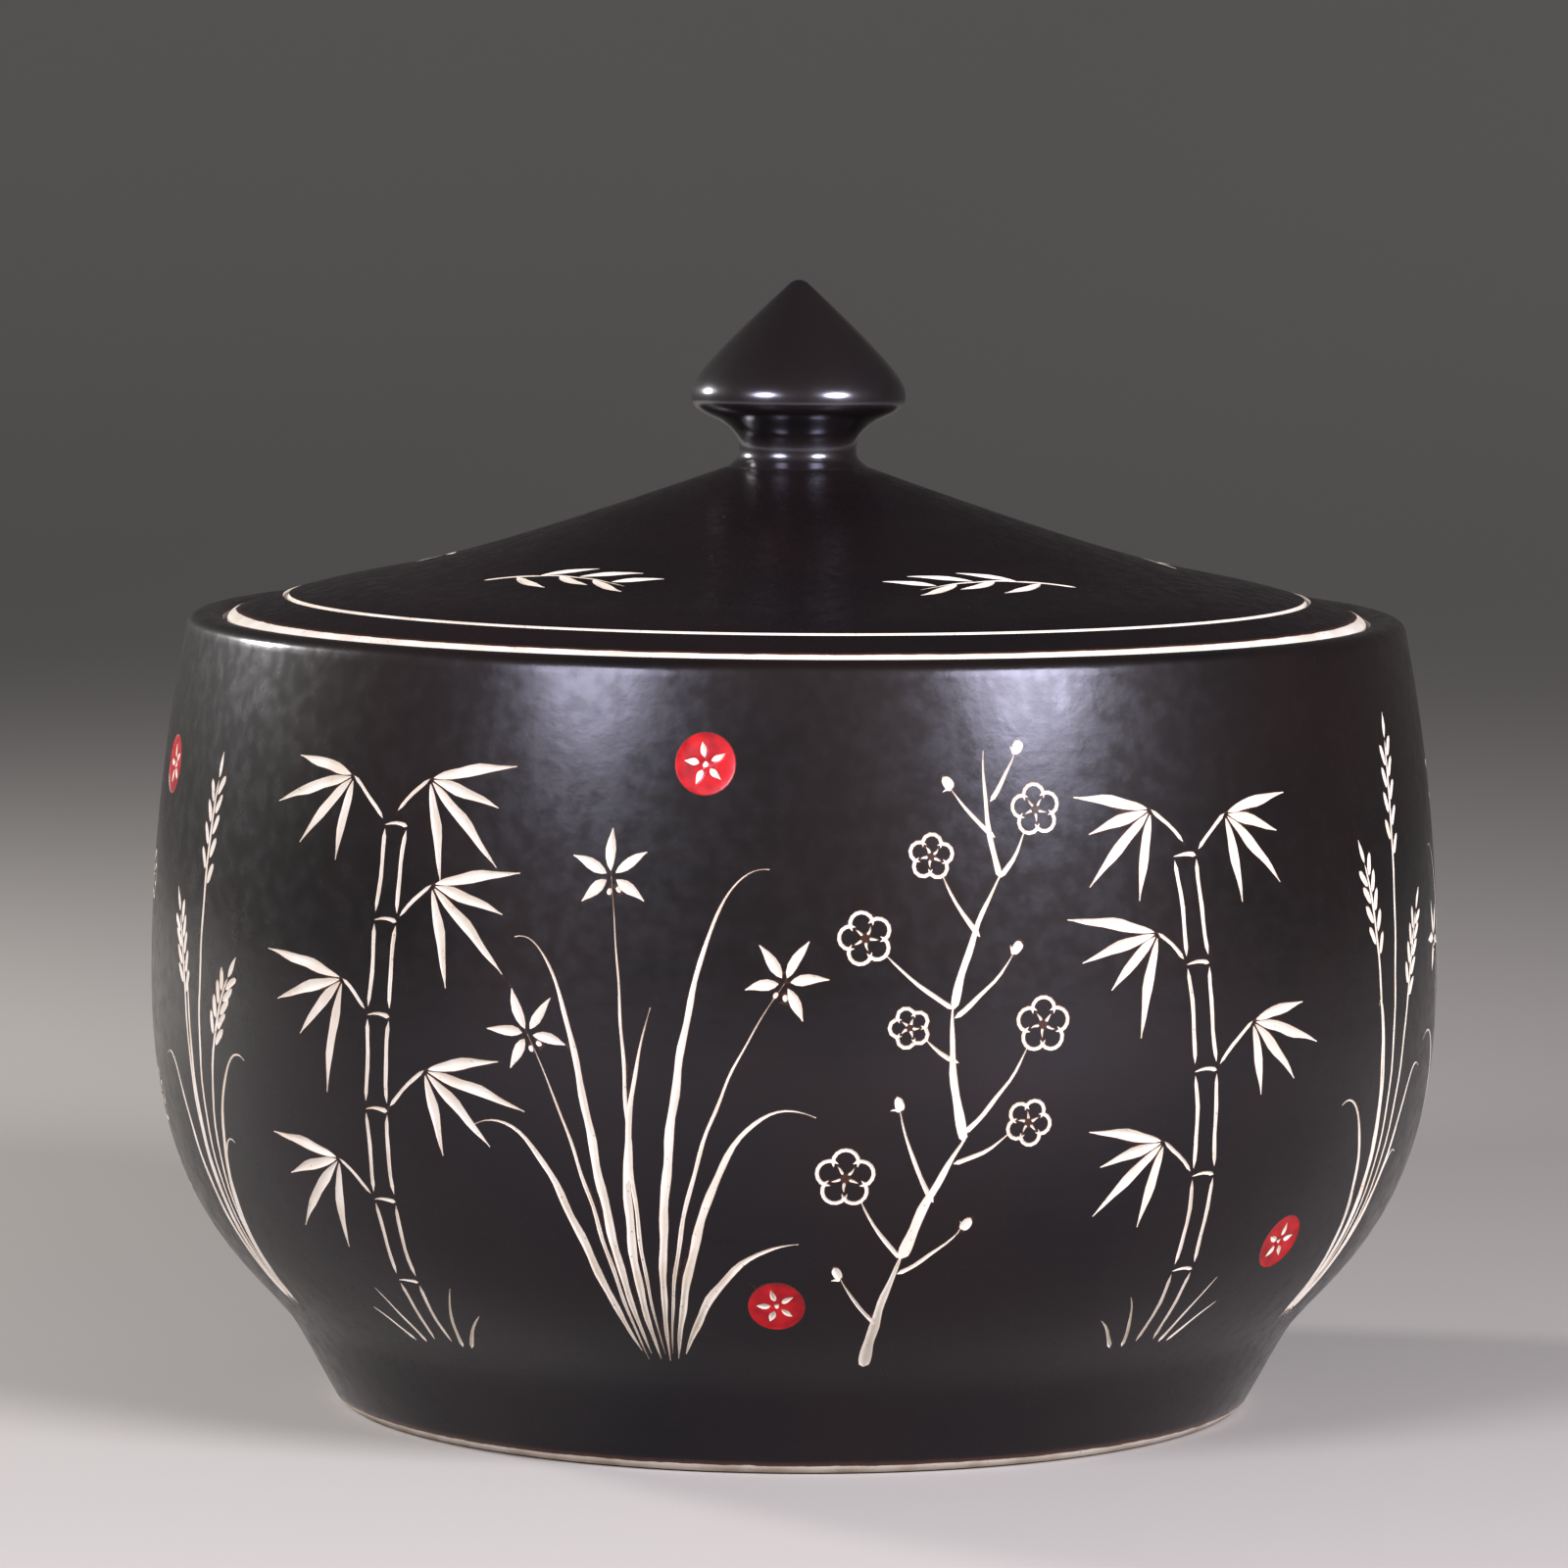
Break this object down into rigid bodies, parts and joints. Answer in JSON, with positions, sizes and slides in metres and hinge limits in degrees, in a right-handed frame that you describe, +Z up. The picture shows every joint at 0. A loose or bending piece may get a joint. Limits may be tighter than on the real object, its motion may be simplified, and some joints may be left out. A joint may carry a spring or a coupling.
{
  "type": "lidded stoneware storage jar",
  "caption": "Squat barrel-shaped glazed storage jar on a tapered foot, with a low sweeping lift-off lid seated inside the lip and a pointed bud-shaped knob.",
  "frame": {"origin": "on the jar's axis, at the height of the table under the foot ring", "axes": "+Z up along the jar's axis towards the knob; the jar is a body of revolution, and -Y is the side that the picture shows"},
  "size_m": [0.3, 0.3, 0.261],
  "materials": {
    "body_glaze": "satin brown-black glaze over cream stoneware",
    "lid_glaze": "satin brown-black glaze over cream stoneware",
    "knob_glaze": "satin brown-black glaze over cream stoneware"
  },
  "bodies": {
    "jar": {"jar_body": "body_glaze"},
    "lid": {"lid": "lid_glaze", "lid_knob": "knob_glaze"}
  },
  "joints": [
    {"name": "lid_lift", "type": "slide", "parent": "jar", "child": "lid", "axis": [0, 0, 1], "range_m": [0, 0.2]}
  ]
}
